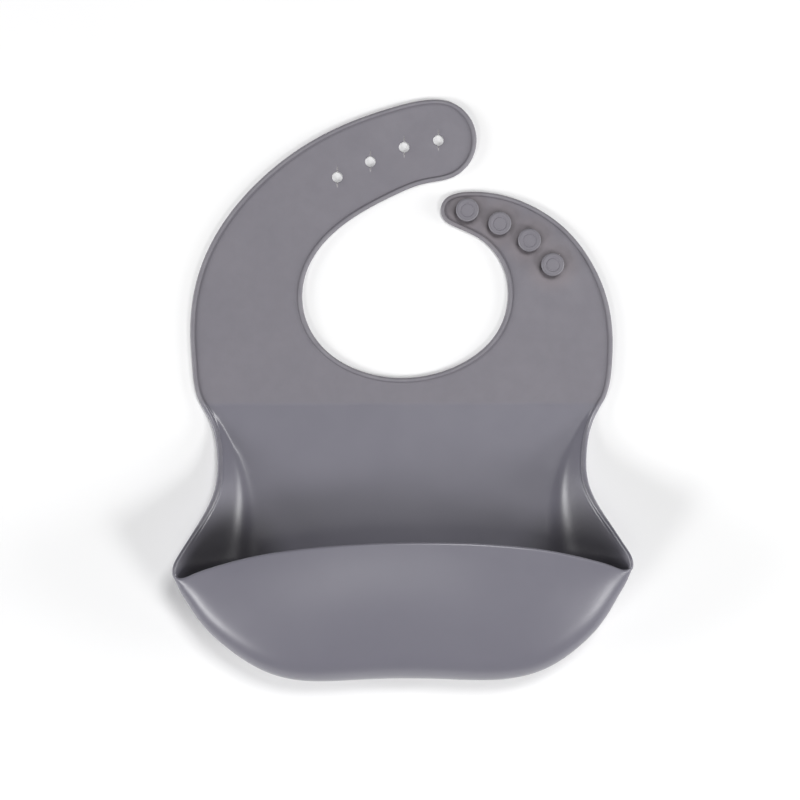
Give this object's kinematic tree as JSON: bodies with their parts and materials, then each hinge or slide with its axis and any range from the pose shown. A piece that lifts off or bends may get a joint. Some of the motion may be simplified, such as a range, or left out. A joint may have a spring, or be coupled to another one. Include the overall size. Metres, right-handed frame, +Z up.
{
  "type": "silicone bib",
  "caption": "Soft baby bib with a wide neck opening, two straps closed by studs in button holes, and a deep food-catching pocket.",
  "frame": {"origin": "bottom centre of the bounding box, on the table that the bib lies on", "axes": "+Z up out of the inner side of the bib, +Y from the pocket towards the neck straps, +X towards the stud strap"},
  "size_m": [0.2307, 0.2967, 0.046],
  "materials": {
    "silicone_matte": "warm grey silicone, dusty matte",
    "silicone_satin": "cool grey silicone, satin"
  },
  "bodies": {
    "root": {"back_panel": "silicone_satin", "left_side_wall": "silicone_satin", "right_side_wall": "silicone_satin", "pocket_floor": "silicone_satin"},
    "pocket_front": {"pocket_front": "silicone_satin"},
    "collar": {"collar": "silicone_matte"},
    "hole_strap_root": {"hole_strap_root": "silicone_matte"},
    "hole_strap_middle": {"hole_strap_middle": "silicone_matte"},
    "hole_strap_tip": {"hole_strap_tip": "silicone_matte"},
    "stud_strap_root": {"stud_strap_root": "silicone_matte", "stud_3": "silicone_matte", "stud_4": "silicone_matte"},
    "stud_strap_tip": {"stud_strap_tip": "silicone_matte", "stud_1": "silicone_matte", "stud_2": "silicone_matte"}
  },
  "joints": [
    {"name": "panel_fold", "type": "hinge", "parent": "root", "child": "collar", "pos_m": [0, -0.002, 0.00275], "axis": [1, 0, 0], "range_deg": [0, 75]},
    {"name": "hole_strap_curl", "type": "hinge", "parent": "collar", "child": "hole_strap_root", "pos_m": [-0.077, 0.057, 0.00275], "axis": [0.9272, -0.3746, 0], "range_deg": [0, 40], "stiffness_Nm_per_rad": 0.0014},
    {"name": "hole_strap_curl_2", "type": "hinge", "parent": "hole_strap_root", "child": "hole_strap_middle", "pos_m": [-0.0505, 0.099, 0.00275], "axis": [0.6691, -0.7431, 0], "range_deg": [0, 40], "stiffness_Nm_per_rad": 0.0014},
    {"name": "hole_strap_curl_3", "type": "hinge", "parent": "hole_strap_middle", "child": "hole_strap_tip", "pos_m": [-0.0075, 0.1215, 0.00275], "axis": [0.342, -0.9397, 0], "range_deg": [0, 40], "stiffness_Nm_per_rad": 0.0014},
    {"name": "stud_strap_curl", "type": "hinge", "parent": "collar", "child": "stud_strap_root", "pos_m": [0.08, 0.0495, 0.00275], "axis": [0.9945, 0.1045, 0], "range_deg": [0, 40], "stiffness_Nm_per_rad": 0.0014},
    {"name": "stud_strap_curl_2", "type": "hinge", "parent": "stud_strap_root", "child": "stud_strap_tip", "pos_m": [0.058, 0.0808, 0.00275], "axis": [0.5, 0.866, 0], "range_deg": [0, 40], "stiffness_Nm_per_rad": 0.0014},
    {"name": "pocket_open", "type": "hinge", "parent": "root", "child": "pocket_front", "pos_m": [0, -0.1493, 0.02], "axis": [1, 0, 0], "range_deg": [0, 20], "stiffness_Nm_per_rad": 0.26}
  ],
  "couplings": [
    {"joint": "hole_strap_curl_2", "follows": "hole_strap_curl", "ratio": 1},
    {"joint": "hole_strap_curl_3", "follows": "hole_strap_curl", "ratio": 1},
    {"joint": "stud_strap_curl_2", "follows": "stud_strap_curl", "ratio": 1}
  ]
}
